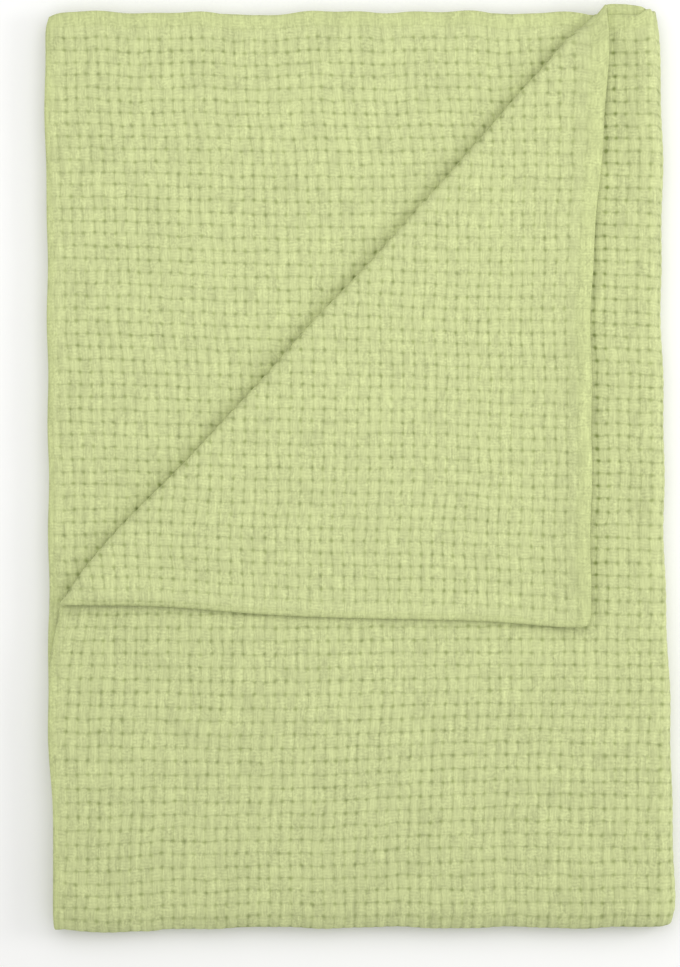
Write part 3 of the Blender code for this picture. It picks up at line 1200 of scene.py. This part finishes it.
    @staticmethod
    def is_fine(face: FaceGrid, i: Array, j: Array) -> Array:
        """Whether any of the base cells round a lattice point is split, so that its relief shows.

        Args:
            face: The face.
            i: Lattice places along the sheet.
            j: Lattice places across the sheet.

        Returns:
            True at each point that has a split cell beside it.
        """
        padded = np.pad((face.split_u > 1) & (face.split_v > 1), 1)
        columns, rows = (i + face.STEPS) / face.STEPS, (j + face.STEPS) / face.STEPS
        low_i, high_i = np.ceil(columns).astype(int) - 1, np.floor(columns).astype(int)
        low_j, high_j = np.ceil(rows).astype(int) - 1, np.floor(rows).astype(int)
        nearby = padded[low_i, low_j] | padded[low_i, high_j]
        return nearby | padded[high_i, low_j] | padded[high_i, high_j]

    @staticmethod
    def border_walk(shared: Array) -> Pair:
        """Goes once round the lattice's border.

        Args:
            shared: Which lattice points both faces use on the border.

        Returns:
            The lattice places of those points along and across the sheet, in order.
        """
        last_i, last_j = shared.shape[0] - 1, shared.shape[1] - 1
        along, up = np.arange(last_i), np.arange(last_j)
        i = np.concatenate((along, np.full(last_j, last_i), last_i - along, np.zeros(last_j, int)))
        j = np.concatenate((np.zeros(last_i, int), up, np.full(last_i, last_j), last_j - up))
        keep = shared[i, j]
        return i[keep], j[keep]

    def edge_points(self, shared: Array, columns: Array, rows: Array) -> Triple:
        """Points of the rounded edges: half circles from the outer face's border to the inner's.

        Args:
            shared: Which lattice points both faces use on the border.
            columns: Base lines across the sheet, in cells.
            rows: Base lines along the sheet, in cells.

        Returns:
            Rows of X, Y and Z, rows of cell numbers, and rows of hem and of how strong the painted shade in
            the gaps is.
        """
        i, j = self.border_walk(shared)
        cells = self.cells_at(i, j, columns, rows)
        u, v = self.weave.on_sheet(*cells)
        along, across, normal = self.stack.directions(u, v)
        by_u, by_v = (
            ((place == size - 1).astype(float) - (place == 0))[:, None]
            for place, size in zip((i, j), shared.shape)
        )
        out = unit(along * by_u + across * by_v)
        middle = self.stack.place(u, v)
        radius = (self.stack.thickness / 2 + self.weave.fullness(u, v))[:, None]
        points = []
        for step in range(1, self.edge_segments):
            angle = math.pi * step / self.edge_segments
            points.append(middle + radius * (normal * math.cos(angle) + out * math.sin(angle)))
        # The turned corner's lower hem keeps its painted shade round the rounded edge.
        gap_shade_strength = self.edge_rim_shade * self.weave.rim_painted_shade(u, v)
        tone = np.stack((np.ones(len(i)), gap_shade_strength), axis=1)
        repeat = (self.edge_segments - 1, 1)
        return np.concatenate(points), np.tile(np.stack(cells, axis=1), repeat), np.tile(tone, repeat)

    def edge_faces(self, numbers: dict[Side, Array], walk: Pair, start: int) -> Array:
        """Quads that join the outer face's border to the inner's over the rounded edge.

        Args:
            numbers: Vertex numbers of each face's lattice points.
            walk: The border points in order.
            start: The vertex number of the first edge point.

        Returns:
            Rows of four vertex numbers.
        """
        i, j = walk
        count = len(i)
        rings = [numbers[Side.OUTER][i, j]]
        rings += [start + step * count + np.arange(count) for step in range(self.edge_segments - 1)]
        rings.append(numbers[Side.INNER][i, j])
        strips = []
        for upper, lower in zip(rings[:-1], rings[1:]):
            strips.append(np.stack((np.roll(upper, -1), upper, lower, np.roll(lower, -1)), axis=1))
        return np.concatenate(strips)

    @staticmethod
    def centring(co: Array) -> Array:
        """The shift that brings the points' box over the origin, with its lowest point on Z = 0.

        Args:
            co: Rows of X, Y and Z.

        Returns:
            The shift along X, Y and Z.
        """
        low, high = co.min(axis=0), co.max(axis=0)
        middle = (low + high) / 2
        return np.array((-middle[0], -middle[1], -low[2]))

    @staticmethod
    def to_mesh(name: str, co: Array, corners: Array, counts: Array) -> bpy.types.Mesh:
        """Puts points and faces into a new mesh.

        Args:
            name: The mesh's name.
            co: Rows of X, Y and Z.
            corners: Vertex numbers of all faces, one after the other.
            counts: How many corners each face has.

        Returns:
            The smooth-shaded mesh.
        """
        mesh = bpy.data.meshes.new(name)
        mesh.vertices.add(len(co))
        mesh.vertices.foreach_set("co", co.astype(np.float32).ravel())
        mesh.loops.add(len(corners))
        mesh.loops.foreach_set("vertex_index", corners.astype(np.int32))
        mesh.polygons.add(len(counts))
        starts = np.concatenate(([0], np.cumsum(counts)[:-1]))
        mesh.polygons.foreach_set("loop_start", starts.astype(np.int32))
        mesh.update(calc_edges=True)
        mesh.validate()
        mesh.shade_smooth()
        return mesh

    @staticmethod
    def add_layers(mesh: bpy.types.Mesh, uv: Array, tone: Array) -> None:
        """Gives the mesh its cell numbers as a UV map, and as point attributes its hem and how strong the
        painted shade in its gaps is.

        Args:
            mesh: The mesh.
            uv: A row of cell numbers for each vertex.
            tone: A row of hem and of how strong the painted shade in the gaps is, for each vertex.
        """
        vertex_of = np.empty(len(mesh.loops), np.int32)
        mesh.loops.foreach_get("vertex_index", vertex_of)
        layer = mesh.uv_layers.new(name="weave")
        layer.data.foreach_set("uv", uv[vertex_of].astype(np.float32).ravel())
        for index, title in enumerate(("hem", "gap_shade_strength")):
            attribute = mesh.attributes.new(title, "FLOAT", "POINT")
            attribute.data.foreach_set("value", tone[:, index].astype(np.float32))


class NodeBench:
    """Adds and joins the nodes of one material, with a short call for each kind.

    A Mix node takes its numbers in sockets 2 and 3, and its colours in sockets 6 and 7.
    """

    def __init__(self, material: bpy.types.Material) -> None:
        """Clears the material's nodes.

        Args:
            material: The material to fill.
        """
        material.use_nodes = True
        self.tree = material.node_tree
        self.tree.nodes.clear()

    def add(self, kind: str, inputs: dict[str | int, Any] | None = None, **settings: Any) -> bpy.types.Node:
        """Adds a node, sets its options, and sets or joins its inputs.

        Args:
            kind: The node's type name.
            inputs: Values or sockets for its inputs, by name or number.
            **settings: The node's own options.

        Returns:
            The new node.
        """
        node = self.tree.nodes.new(kind)
        for key, value in settings.items():
            setattr(node, key, value)
        for key, value in (inputs or {}).items():
            if isinstance(value, bpy.types.NodeSocket):
                self.tree.links.new(value, node.inputs[key])
            else:
                node.inputs[key].default_value = value
        return node

    def math(self, operation: str, *values: Any) -> Socket:
        """The result of one Math node."""
        return self.add("ShaderNodeMath", dict(enumerate(values)), operation=operation).outputs[0]

    def vector(self, operation: str, inputs: dict[str | int, Any]) -> Socket:
        """The result of one Vector Math node."""
        return self.add("ShaderNodeVectorMath", inputs, operation=operation).outputs[0]

    def mix(self, share: Any, first: Any, second: Any) -> Socket:
        """A number between two others, by a share."""
        return self.add("ShaderNodeMix", {0: share, 2: first, 3: second}).outputs[0]

    def mix_color(self, share: Any, first: Any, second: Any) -> Socket:
        """A colour between two others, by a share."""
        return self.add("ShaderNodeMix", {0: share, 6: first, 7: second}, data_type="RGBA").outputs[2]

    def ramp(self, value: Any, low: float, high: float, start: float = 0.0, end: float = 1.0) -> Socket:
        """Maps low to start and high to end in a soft S."""
        inputs = {"Value": value, "From Min": low, "From Max": high, "To Min": start, "To Max": end}
        return self.add("ShaderNodeMapRange", inputs, interpolation_type="SMOOTHSTEP").outputs["Result"]

    def noise(self, place: Any, scale: float, detail: float = 2.0, output: str = "Fac") -> Socket:
        """Soft noise at the given places, with features about 1 / scale wide."""
        inputs = {"Vector": place, "Scale": scale, "Detail": detail}
        return self.add("ShaderNodeTexNoise", inputs).outputs[output]

    def attribute(self, name: str) -> Socket:
        """The values of one of the mesh's point attributes."""
        return self.add("ShaderNodeAttribute", attribute_name=name).outputs["Fac"]

    def chance(self, first: Any, second: Any, seed: float) -> Socket:
        """A number from 0 to 1 that is the same all over each pair of whole numbers."""
        place = self.add("ShaderNodeCombineXYZ", {0: first, 1: second, 2: seed}).outputs[0]
        return self.add("ShaderNodeTexWhiteNoise", {"Vector": place}).outputs["Value"]

    def surface(self, inputs: dict[str | int, Any]) -> None:
        """Makes a Principled shader with these inputs the material's surface."""
        shader = self.add("ShaderNodeBsdfPrincipled", inputs)
        self.add("ShaderNodeOutputMaterial", {"Surface": shader.outputs[0]})


class ClothSockets(NamedTuple):
    """What the cotton's nodes read at each point of the cloth."""

    place: Socket
    column: Socket
    row: Socket
    from_column: Socket
    from_row: Socket
    in_column: Socket
    in_row: Socket
    parity: Socket
    ribs: Socket
    fuzz: Socket
    hem: Socket
    # How strong the painted shade in the gaps is.
    gap_shade_strength: Socket


@dataclass(frozen=True)
class CottonFinish:
    """Matt pistachio cotton: basket-weave cells of soft yarn, with painted shade in the gaps between them.

    Widths of gaps and floats are in cells, and the scales of noise in features to a metre.
    """

    yarn: Colour = (0.521, 0.565, 0.273, 1.0)
    # The colour of the painted shade in the gaps between cells.
    gap_shade_color: Colour = (0.208, 0.249, 0.076, 1.0)
    hem_yarn: Colour = (0.503, 0.550, 0.255, 1.0)
    wobble: float = 0.45
    wobble_scale: float = 62.0
    ribs: float = 4.0

    # The painted shade in the gaps: how dark and wide its lines and dots are, and how much their strength
    # varies.
    column_gap: float = 0.23
    row_gap: float = 0.27
    corner_gap: float = 0.44
    lines_share: float = 0.8
    column_gap_width: float = 0.26
    row_gap_width: float = 0.22
    dot_reach: Span = (0.34, 0.29)
    dot_core: float = 0.1
    faintest_line: float = 0.35
    faintest_dot: float = 0.50
    column_seed: float = 1.7
    row_seed: float = 3.1
    dot_seed: float = 0.5

    # The tone: how much each effect lightens and darkens the yarns, and how fine it is.
    # Painted shade between neighbouring yarns, and painted light on their tops.
    rib_shade_tone: float = 0.035
    streak_tone: float = 0.32
    streak_spread: Span = (4.6, 0.9)
    drawn_tone: float = 0.50
    drawn_scale: tuple[float, float, float] = (340.0, 62.0, 62.0)
    fuzz_tone: float = 0.42
    fuzz_scale: float = 500.0
    fuzz_patch_scale: float = 90.0
    fuzz_patches: tuple[float, float, float, float] = (0.35, 0.65, 0.45, 1.55)
    cell_tone: float = 0.04
    cell_seed: float = 7.3
    patch_tone: float = 0.06
    patch_scale: float = 22.0

    # The fine relief, and how the surface takes light.
    arch_from: float = -0.1
    float_side: Span = (0.14, 0.12)
    rib_height: float = 0.10
    fuzz_height: float = 0.5
    bump_strength: float = 0.5
    bump_height: float = 0.0005
    roughness: float = 0.92
    specular: float = 0.25
    sheen: float = 0.12
    sheen_roughness: float = 0.5
    sheen_tint: Colour = (0.92, 1.0, 0.7, 1.0)

    def make(self, name: str) -> bpy.types.Material:
        """Builds the material.

        Args:
            name: The material's name.

        Returns:
            The material.
        """
        material = bpy.data.materials.new(name)
        bench = NodeBench(material)
        cloth = self.read_cloth(bench)
        inputs = {
            "Strength": self.bump_strength,
            "Distance": self.bump_height,
            "Height": self.height(bench, cloth),
        }
        bump = bench.add("ShaderNodeBump", inputs)
        bench.surface(
            {
                "Base Color": self.color(bench, cloth),
                "Roughness": self.roughness,
                "Normal": bump.outputs["Normal"],
                "Specular IOR Level": self.specular,
                "Sheen Weight": self.sheen,
                "Sheen Roughness": self.sheen_roughness,
                "Sheen Tint": self.sheen_tint,
            }
        )
        return material

    def read_cloth(self, bench: NodeBench) -> ClothSockets:
        """Works out where each point lies in the weave.

        The cell numbers have a small wobble, as no yarn lies quite straight. Parity is 0 in cells
        whose yarns run across the sheet, and 1 in those whose yarns run along it. The ribs are a
        cosine across each cell's yarns, from -1 between two yarns to 1 on a yarn.

        Args:
            bench: The material's bench.

        Returns:
            The sockets that the other methods share.
        """
        place = bench.add("ShaderNodeTexCoord").outputs["Object"]
        noise = bench.noise(place, self.wobble_scale, output="Color")
        centred = bench.vector("SUBTRACT", {0: noise, 1: (0.5, 0.5, 0.5)})
        shift = bench.vector("SCALE", {0: centred, "Scale": self.wobble})
        cells = bench.add("ShaderNodeUVMap", uv_map="weave").outputs[0]
        moved = bench.vector("ADD", {0: cells, 1: shift})
        column, row = bench.add("ShaderNodeSeparateXYZ", {0: moved}).outputs[:2]
        in_column, in_row = bench.math("FLOOR", column), bench.math("FLOOR", row)
        parity = bench.math("PINGPONG", bench.math("ADD", in_column, in_row), 1.0)
        turns = 2 * math.pi * self.ribs
        waves = [bench.math("COSINE", bench.math("MULTIPLY", cell, turns)) for cell in (column, row)]
        return ClothSockets(
            place=place,
            column=column,
            row=row,
            from_column=bench.math("PINGPONG", column, 0.5),
            from_row=bench.math("PINGPONG", row, 0.5),
            in_column=in_column,
            in_row=in_row,
            parity=parity,
            ribs=bench.math("MULTIPLY", bench.mix(parity, *waves), -1.0),
            fuzz=bench.noise(place, self.fuzz_scale),
            hem=bench.attribute("hem"),
            gap_shade_strength=bench.attribute("gap_shade_strength"),
        )

    def gaps(self, bench: NodeBench, cloth: ClothSockets) -> Socket:
        """How much painted shade the gaps get: soft lines between cells, and darker dots where they cross.

        Each stretch of a line between two crossings, and each dot, has its own strength.

        Args:
            bench: The material's bench.
            cloth: What is known at each point.

        Returns:
            A socket from 0 on a cell to 1 where the painted shade is darkest.
        """
        near_column, near_row = bench.math("ROUND", cloth.column), bench.math("ROUND", cloth.row)
        by_column = bench.chance(near_column, cloth.in_row, self.column_seed)
        by_row = bench.chance(cloth.in_column, near_row, self.row_seed)
        by_dot = bench.chance(near_column, near_row, self.dot_seed)
        ratios = [
            bench.math("POWER", bench.math("DIVIDE", distance, reach), 2.0)
            for distance, reach in zip((cloth.from_column, cloth.from_row), self.dot_reach)
        ]
        away = bench.math("SQRT", bench.math("ADD", *ratios))
        column_line, row_line, dot = (
            bench.math(
                "MULTIPLY",
                bench.ramp(distance, start, width, 1.0, 0.0),
                bench.ramp(chance, 0.0, 1.0, faintest, 1.0),
            )
            for distance, start, width, chance, faintest in (
                (cloth.from_column, 0.0, self.column_gap_width, by_column, self.faintest_line),
                (cloth.from_row, 0.0, self.row_gap_width, by_row, self.faintest_line),
                (away, self.dot_core, 1.0, by_dot, self.faintest_dot),
            )
        )
        lines = bench.math("MULTIPLY", column_line, self.column_gap)
        lines = bench.math("MULTIPLY_ADD", row_line, self.row_gap, lines)
        lines = bench.math("MULTIPLY", lines, self.lines_share)
        total = bench.math("MULTIPLY_ADD", dot, self.corner_gap, lines)
        return bench.math("MULTIPLY", bench.math("MINIMUM", total, 1.0), cloth.gap_shade_strength)

    def tone(self, bench: NodeBench, cloth: ClothSockets) -> Socket:
        """How light the yarns are: painted shade between neighbouring yarns with light on their tops,
        streaks along them, fuzz, and cells and patches that differ a little.

        Args:
            bench: The material's bench.
            cloth: What is known at each point.

        Returns:
            A factor round 1.
        """
        streaks = []
        for spread in (self.streak_spread, self.streak_spread[::-1]):
            along = bench.math("MULTIPLY", cloth.column, spread[0])
            across = bench.math("MULTIPLY", cloth.row, spread[1])
            cell = bench.add("ShaderNodeCombineXYZ", {0: along, 1: across}).outputs[0]
            streaks.append(bench.noise(cell, 1.0))
        stretched = bench.vector("MULTIPLY", {0: cloth.place, 1: self.drawn_scale})
        fuzz_patches = bench.ramp(bench.noise(cloth.place, self.fuzz_patch_scale, 1.0), *self.fuzz_patches)
        shares = (
            (bench.mix(cloth.parity, *streaks), self.streak_tone),
            (bench.noise(stretched, 1.0), self.drawn_tone),
            (cloth.fuzz, bench.math("MULTIPLY", fuzz_patches, self.fuzz_tone)),
            (bench.chance(cloth.in_column, cloth.in_row, self.cell_seed), self.cell_tone),
            (bench.noise(cloth.place, self.patch_scale, 3.0), self.patch_tone),
        )
        # Painted shade between the yarns, and light on their tops.
        tone = bench.math("MULTIPLY_ADD", cloth.ribs, self.rib_shade_tone, 1.0)
        for value, share in shares:
            tone = bench.math("MULTIPLY_ADD", bench.math("SUBTRACT", value, 0.5), share, tone)
        return tone

    def color(self, bench: NodeBench, cloth: ClothSockets) -> Socket:
        """The cloth's colour: yarn or hem, with painted shade in the gaps, times its tone.

        Args:
            bench: The material's bench.
            cloth: What is known at each point.

        Returns:
            The colour's socket.
        """
        yarn = bench.mix_color(cloth.hem, self.yarn, self.hem_yarn)
        # Painted shade in the gaps between cells.
        shaded = bench.mix_color(self.gaps(bench, cloth), yarn, self.gap_shade_color)
        return bench.vector("SCALE", {0: shaded, "Scale": self.tone(bench, cloth)})

    def height(self, bench: NodeBench, cloth: ClothSockets) -> Socket:
        """The relief of the yarns: floats that arch along their own direction, with ribs and fuzz.

        Args:
            bench: The material's bench.
            cloth: What is known at each point.

        Returns:
            The height's socket, about 0 to 1.
        """
        distances = (cloth.from_column, cloth.from_row)
        arch_u, arch_v = (bench.ramp(distance, self.arch_from, 0.5) for distance in distances)
        side_u, side_v = (bench.ramp(*pair) for pair in zip(distances, (0.0, 0.0), self.float_side))
        running_across = bench.math("MULTIPLY", arch_v, side_u)
        running_along = bench.math("MULTIPLY", arch_u, side_v)
        floats = bench.mix(cloth.parity, running_across, running_along)
        open_floats = bench.math("MULTIPLY", floats, bench.math("SUBTRACT", 1.0, cloth.hem))
        total = bench.math("MULTIPLY_ADD", cloth.ribs, self.rib_height, open_floats)
        return bench.math("MULTIPLY_ADD", cloth.fuzz, self.fuzz_height, total)


@dataclass(frozen=True)
class FloorFinish:
    """Plain, matt, nearly white studio floor."""

    white: Colour = (0.905, 0.905, 0.893, 1.0)
    roughness: float = 0.95
    specular: float = 0.1

    def make(self, name: str) -> bpy.types.Material:
        """Builds the material.

        Args:
            name: The material's name.

        Returns:
            The material.
        """
        material = bpy.data.materials.new(name)
        inputs = {"Base Color": self.white, "Roughness": self.roughness}
        NodeBench(material).surface({**inputs, "Specular IOR Level": self.specular})
        return material


class Lamp(NamedTuple):
    """A square softbox: its name, place, width and power in watts."""

    name: str
    place: tuple[float, float, float]
    size: float
    power: float


@dataclass(frozen=True)
class Studio:
    """Pale floor, soft light from above and from the right, and a camera straight above the throw.

    aim is where the camera looks in plan, at the height of the stack's top.
    """

    floor_half: float = 4.0
    surround: Colour = (1.0, 1.0, 1.0, 1.0)
    world_light: float = 0.765
    lamps: tuple[Lamp, ...] = (
        Lamp("upper_softbox", (-0.10, 0.24, 0.80), 0.9, 2.9),
        Lamp("right_softbox", (1.5, 0.15, 0.85), 0.8, 9.5),
    )
    aim: Span = (-0.0167, -0.0120)
    top_height: float = 0.0275
    lens: float = 100.0
    sensor: float = 36.0
    view_height: float = 0.7905
    view_limit: float = 50.0
    floor_finish: FloorFinish = field(default_factory=FloorFinish)

    def build(self) -> None:
        """Makes the floor, the lights and the camera."""
        self.build_floor()
        self.build_light()
        self.build_camera()

    def build_floor(self) -> None:
        """Lays a square floor on Z = 0."""
        half = self.floor_half
        corners = [(-half, -half, 0), (half, -half, 0), (half, half, 0), (-half, half, 0)]
        mesh = bpy.data.meshes.new("floor")
        mesh.from_pydata(corners, [], [(0, 1, 2, 3)])
        mesh.materials.append(self.floor_finish.make("studio_floor"))
        floor = bpy.data.objects.new("floor", mesh)
        bpy.context.scene.collection.objects.link(floor)

    def build_light(self) -> None:
        """Sets an even white surround, and broad lamps that are aimed at the throw's middle.

        A lamp shines along its own -Z. It is tilted by the angle whose tangent is its distance in plan
        over its height, and turned by its direction in plan plus a quarter turn.
        """
        scene = bpy.context.scene
        world = bpy.data.worlds.new("studio")
        world.use_nodes = True
        background = world.node_tree.nodes["Background"]
        background.inputs["Color"].default_value = self.surround
        background.inputs["Strength"].default_value = self.world_light
        scene.world = world
        scene.view_settings.view_transform = "Standard"
        for lamp in self.lamps:
            light = bpy.data.lights.new(lamp.name, "AREA")
            light.energy, light.size = lamp.power, lamp.size
            softbox = bpy.data.objects.new(lamp.name, light)
            x, y, z = lamp.place
            tilt, turn = math.atan2(math.hypot(x, y), z), math.atan2(y, x) + math.pi / 2
            softbox.location, softbox.rotation_euler = lamp.place, (tilt, 0.0, turn)
            scene.collection.objects.link(softbox)

    def build_camera(self) -> None:
        """Hangs the camera over the throw, so far up that the frame's long side spans view_height."""
        data = bpy.data.cameras.new("camera")
        data.lens = self.lens
        data.sensor_width = self.sensor
        data.clip_end = self.view_limit
        camera = bpy.data.objects.new("camera", data)
        distance = self.view_height * self.lens / self.sensor
        camera.location = (*self.aim, self.top_height + distance)
        bpy.context.scene.collection.objects.link(camera)
        bpy.context.scene.camera = camera


@dataclass
class Throw:
    """The folded throw as the one piece of the object."""

    shape: ThrowMesh = field(default_factory=ThrowMesh)
    finish: CottonFinish = field(default_factory=CottonFinish)
    node: str = "throw"

    def build(self) -> bpy.types.Object:
        """Returns:
            The finished piece.
        """
        piece, shift = self.shape.build("throw_woven")
        LOG.info("centred by %s", np.round(shift, 5))
        piece.data.materials.append(self.finish.make("cotton_weave_finish"))
        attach(piece, "root")
        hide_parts(self.node)
        return piece


def main() -> None:
    """Builds the throw and the studio round it."""
    logging.basicConfig(level=logging.INFO, format="%(name)s: %(message)s")
    piece = Throw().build()
    piece.data.calc_loop_triangles()
    LOG.info("%s has %d triangles", piece.name, len(piece.data.loop_triangles))
    Studio().build()


if __name__ == "__main__":
    main()
